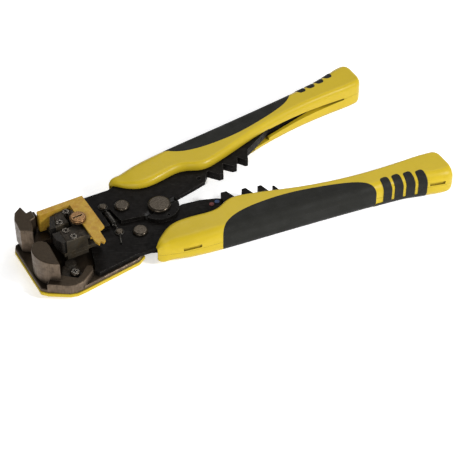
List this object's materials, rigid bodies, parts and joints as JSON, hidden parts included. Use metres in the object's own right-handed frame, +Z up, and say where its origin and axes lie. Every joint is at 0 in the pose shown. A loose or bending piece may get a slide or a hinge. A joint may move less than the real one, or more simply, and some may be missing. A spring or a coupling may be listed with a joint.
{
  "type": "wire stripper",
  "caption": "Hand tool with two sprung handles, gripping and cutting jaws at the front, a sliding wire stop, and a wire cutter with crimping teeth behind the pivot.",
  "frame": {"origin": "bottom centre of the box round the tool, lying flat with its handles open", "axes": "+X towards the handle ends, +Y towards the moving handle, +Z up"},
  "size_m": [0.1988, 0.0956, 0.0224],
  "materials": {
    "yellow_plastic": "moulded, soft gloss",
    "black_rubber": "matt, fine grain",
    "black_steel": "blackened, satin",
    "jaw_casting": "cast, lightly brushed",
    "dark_steel": "blackened, satin",
    "blade_steel": "ground",
    "rivet_steel": "dull with bright rims",
    "screw_steel": "zinc",
    "spring_steel": "drawn wire",
    "bronze": "dull, turned",
    "red_paint": "paint",
    "blue_paint": "paint"
  },
  "bodies": {
    "lower_handle": {"back_cover": "yellow_plastic", "jaw_casting": "jaw_casting", "jaw_pivot_pin": "rivet_steel", "link_rivet_lower": "rivet_steel", "lower_die_plate": "black_steel", "lower_grip": "black_rubber", "lower_handle_screw_1": "screw_steel", "lower_handle_screw_2": "screw_steel", "lower_handle_screw_3": "screw_steel", "lower_plate": "black_steel", "lower_ribs": "black_rubber", "lower_shell_far": "yellow_plastic", "lower_shell_near": "yellow_plastic", "mark_blue": "blue_paint", "mark_red": "red_paint", "pad_plate": "dark_steel", "pad_screw": "rivet_steel", "pivot_rivet": "rivet_steel", "return_spring": "spring_steel", "spring_clip": "spring_steel", "spring_pin_lower": "rivet_steel"},
    "upper_handle": {"link_rivet_upper": "rivet_steel", "spring_pin_upper": "rivet_steel", "upper_die_plate": "black_steel", "upper_grip": "black_rubber", "upper_handle_screw_1": "screw_steel", "upper_handle_screw_2": "screw_steel", "upper_handle_screw_3": "screw_steel", "upper_plate": "black_steel", "upper_plate_far": "black_steel", "upper_ribs": "black_rubber", "upper_shell_far": "yellow_plastic", "upper_shell_near": "yellow_plastic"},
    "gripping_arm": {"upper_jaw": "jaw_casting"},
    "cutter_slide": {"cutter_carriage": "dark_steel", "lower_cutter": "dark_steel", "lower_cutter_blades": "blade_steel", "cutter_pin_3": "rivet_steel", "cutter_pin_4": "rivet_steel"},
    "upper_cutting_jaw": {"upper_cutter": "dark_steel", "upper_cutter_blades": "blade_steel", "cutter_pin_1": "rivet_steel", "cutter_pin_2": "rivet_steel"},
    "stop": {"wire_stop": "yellow_plastic"},
    "clamp_screw": {"stop_screw": "bronze"}
  },
  "joints": [
    {"name": "handle_close", "type": "hinge", "parent": "lower_handle", "child": "upper_handle", "pos_m": [-0.0312, 0.001, 0.008], "axis": [0, 0, -1], "range_deg": [0, 19], "stiffness_Nm_per_rad": 1.05, "springref_deg": -13.75, "deforming": ["return_spring"]},
    {"name": "grip_close", "type": "hinge", "parent": "lower_handle", "child": "gripping_arm", "pos_m": [-0.0662, 0.0144, 0.007], "axis": [0, 0, 1], "range_deg": [0, 13.3]},
    {"name": "cutter_pull", "type": "slide", "parent": "lower_handle", "child": "cutter_slide", "axis": [1, 0, 0], "range_m": [0, 0.007]},
    {"name": "cutter_close", "type": "slide", "parent": "cutter_slide", "child": "upper_cutting_jaw", "axis": [0, -1, 0], "range_m": [0, 0.0027]},
    {"name": "stop_slide", "type": "slide", "parent": "cutter_slide", "child": "stop", "axis": [1, 0, 0], "range_m": [0, 0.006]},
    {"name": "screw_turn", "type": "hinge", "parent": "cutter_slide", "child": "clamp_screw", "pos_m": [-0.0718, 0.0001, 0.02], "axis": [0, 0, 1], "continuous": true}
  ],
  "couplings": [
    {"joint": "grip_close", "follows": "handle_close", "ratio": 0.7},
    {"joint": "cutter_pull", "follows": "handle_close", "m_per_rad": 0.0211},
    {"joint": "cutter_close", "follows": "handle_close", "m_per_rad": 0.00814}
  ]
}
